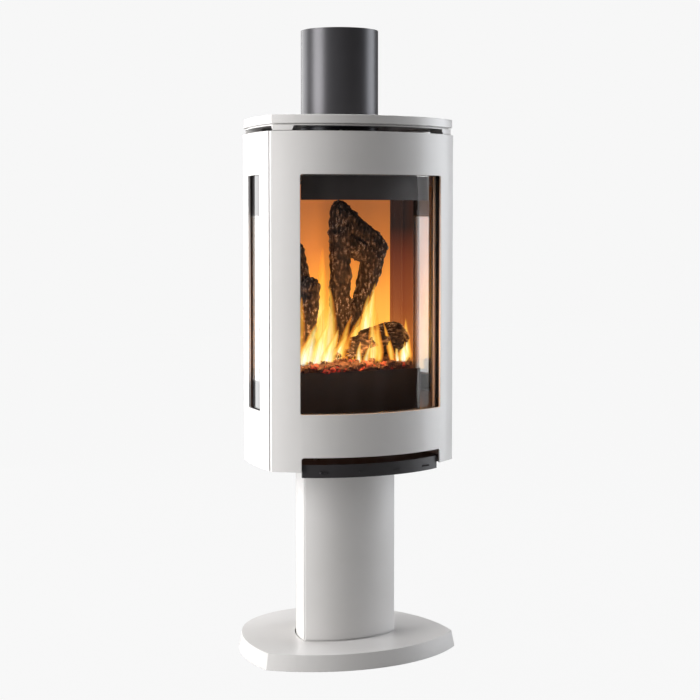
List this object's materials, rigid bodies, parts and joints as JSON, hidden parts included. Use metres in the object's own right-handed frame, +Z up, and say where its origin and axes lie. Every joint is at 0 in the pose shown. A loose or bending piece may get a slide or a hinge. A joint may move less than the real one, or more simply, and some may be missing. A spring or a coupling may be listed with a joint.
{
  "type": "pedestal gas stove",
  "caption": "Free-standing room-sealed stove with a curved glazed firebox on a slim pedestal, an opening front door, moulded log fire and coaxial flue.",
  "frame": {"origin": "centre of the base plate on the floor", "axes": "+Z up along the flue, front of the stove towards -Y, +X to its right as seen from the front"},
  "size_m": [0.4652, 0.4384, 1.351],
  "materials": {
    "painted_steel": "warm white satin paint with a fine texture",
    "painted_iron": "warm white satin paint over cast iron",
    "charcoal_iron": "satin charcoal",
    "black_steel": "matt heat-proof black",
    "bare_steel": "mill finish",
    "zinc_steel": "zinc plated",
    "aluminium_casting": "die cast",
    "brass": "machined",
    "black_plastic": "matt",
    "red_lever": "dipped",
    "fire_glass": "clear ceramic glass with a black printed border",
    "rope_seal": "braided glass-fibre rope",
    "lit_liner": "plain liner lit by the fire",
    "embers": "rough lumps, some glowing",
    "log_ceramic": "moulded charred bark",
    "graphite_flue": "satin graphite"
  },
  "bodies": {
    "stove": {"base_plate": "painted_steel", "ballast_plate": "bare_steel", "levelling_feet": "zinc_steel", "pedestal_flanges": "black_steel", "pedestal_shell": "painted_steel", "flange_bolts": "zinc_steel", "pedestal_hinge_brackets": "black_steel", "magnet_catches": "black_plastic", "gas_valve": "aluminium_casting", "shutoff_tap": "brass", "gas_pipes": "zinc_steel", "bottom_plate": "black_steel", "top_frame": "black_steel", "top_frame_screws": "zinc_steel", "left_side_panel": "painted_steel", "right_side_panel": "painted_steel", "rear_panel": "painted_steel", "door_hinge_brackets": "black_steel", "ash_lip": "charcoal_iron", "top_spacer": "painted_iron", "top_plate": "painted_iron", "front_glass": "fire_glass", "glass_frame": "black_steel", "glass_gasket": "rope_seal", "left_side_glass": "fire_glass", "right_side_glass": "fire_glass", "side_gaskets": "rope_seal", "firebox_flange": "black_steel", "firebox_shell": "black_steel", "back_liner": "lit_liner", "liner_strips": "black_steel", "top_shield": "black_steel", "baffle": "black_steel", "burner_skirt": "black_steel", "burner_tray": "black_steel", "ember_bed": "embers", "pilot": "zinc_steel", "log_left": "log_ceramic", "log_centre": "log_ceramic", "log_right": "log_ceramic", "shutter_rails": "black_steel", "flue_collar": "black_steel", "outer_flue_pipe": "graphite_flue", "inner_flue_pipe": "zinc_steel", "flue_spacer": "zinc_steel"},
    "front_door": {"front_door": "painted_steel", "door_hinge_pins": "zinc_steel", "door_striker": "zinc_steel"},
    "pedestal_door": {"pedestal_door": "painted_steel", "pedestal_hinge_pins": "zinc_steel", "pedestal_striker": "zinc_steel"},
    "latch_lower_left": {"latch_lower_left": "black_steel"},
    "latch_upper_left": {"latch_upper_left": "black_steel"},
    "latch_lower_right": {"latch_lower_right": "black_steel"},
    "latch_upper_right": {"latch_upper_right": "black_steel"},
    "gas_knob": {"gas_knob": "black_plastic"},
    "flame_knob": {"flame_knob": "black_plastic"},
    "igniter_button": {"igniter_button": "black_plastic"},
    "shutoff_lever": {"shutoff_lever": "red_lever"},
    "air_shutter": {"air_shutter": "zinc_steel"}
  },
  "joints": [
    {"name": "front_door_hinge", "type": "hinge", "parent": "stove", "child": "front_door", "pos_m": [0.2065, -0.13035, 0.77], "axis": [0, 0, 1], "range_deg": [0, 110]},
    {"name": "pedestal_door_hinge", "type": "hinge", "parent": "stove", "child": "pedestal_door", "pos_m": [0.1015, -0.06275, 0.22], "axis": [0, 0, 1], "range_deg": [0, 100]},
    {"name": "latch_lower_left_turn", "type": "hinge", "parent": "stove", "child": "latch_lower_left", "pos_m": [-0.18625, -0.12408, 0.61], "axis": [-0.6212, -0.7836, 0], "range_deg": [0, 90]},
    {"name": "latch_upper_left_turn", "type": "hinge", "parent": "stove", "child": "latch_upper_left", "pos_m": [-0.18625, -0.12408, 0.965], "axis": [-0.6212, -0.7836, 0], "range_deg": [0, 90]},
    {"name": "latch_lower_right_turn", "type": "hinge", "parent": "stove", "child": "latch_lower_right", "pos_m": [0.18625, -0.12408, 0.61], "axis": [0.6212, -0.7836, 0], "range_deg": [0, 90]},
    {"name": "latch_upper_right_turn", "type": "hinge", "parent": "stove", "child": "latch_upper_right", "pos_m": [0.18625, -0.12408, 0.965], "axis": [0.6212, -0.7836, 0], "range_deg": [0, 90]},
    {"name": "gas_knob_turn", "type": "hinge", "parent": "stove", "child": "gas_knob", "pos_m": [-0.032, -0.05955, 0.308], "axis": [0, -1, 0], "range_deg": [0, 180]},
    {"name": "flame_knob_turn", "type": "hinge", "parent": "stove", "child": "flame_knob", "pos_m": [0.032, -0.05955, 0.308], "axis": [0, -1, 0], "range_deg": [0, 270]},
    {"name": "igniter_press", "type": "slide", "parent": "stove", "child": "igniter_button", "axis": [0, 1, 0], "range_m": [0, 0.004], "stiffness_N_per_m": 400},
    {"name": "shutoff_turn", "type": "hinge", "parent": "stove", "child": "shutoff_lever", "pos_m": [0, 0, 0.14], "axis": [0, -1, 0], "range_deg": [0, 90]},
    {"name": "air_shutter_slide", "type": "slide", "parent": "stove", "child": "air_shutter", "axis": [1, 0, 0], "range_m": [0, 0.02]}
  ]
}
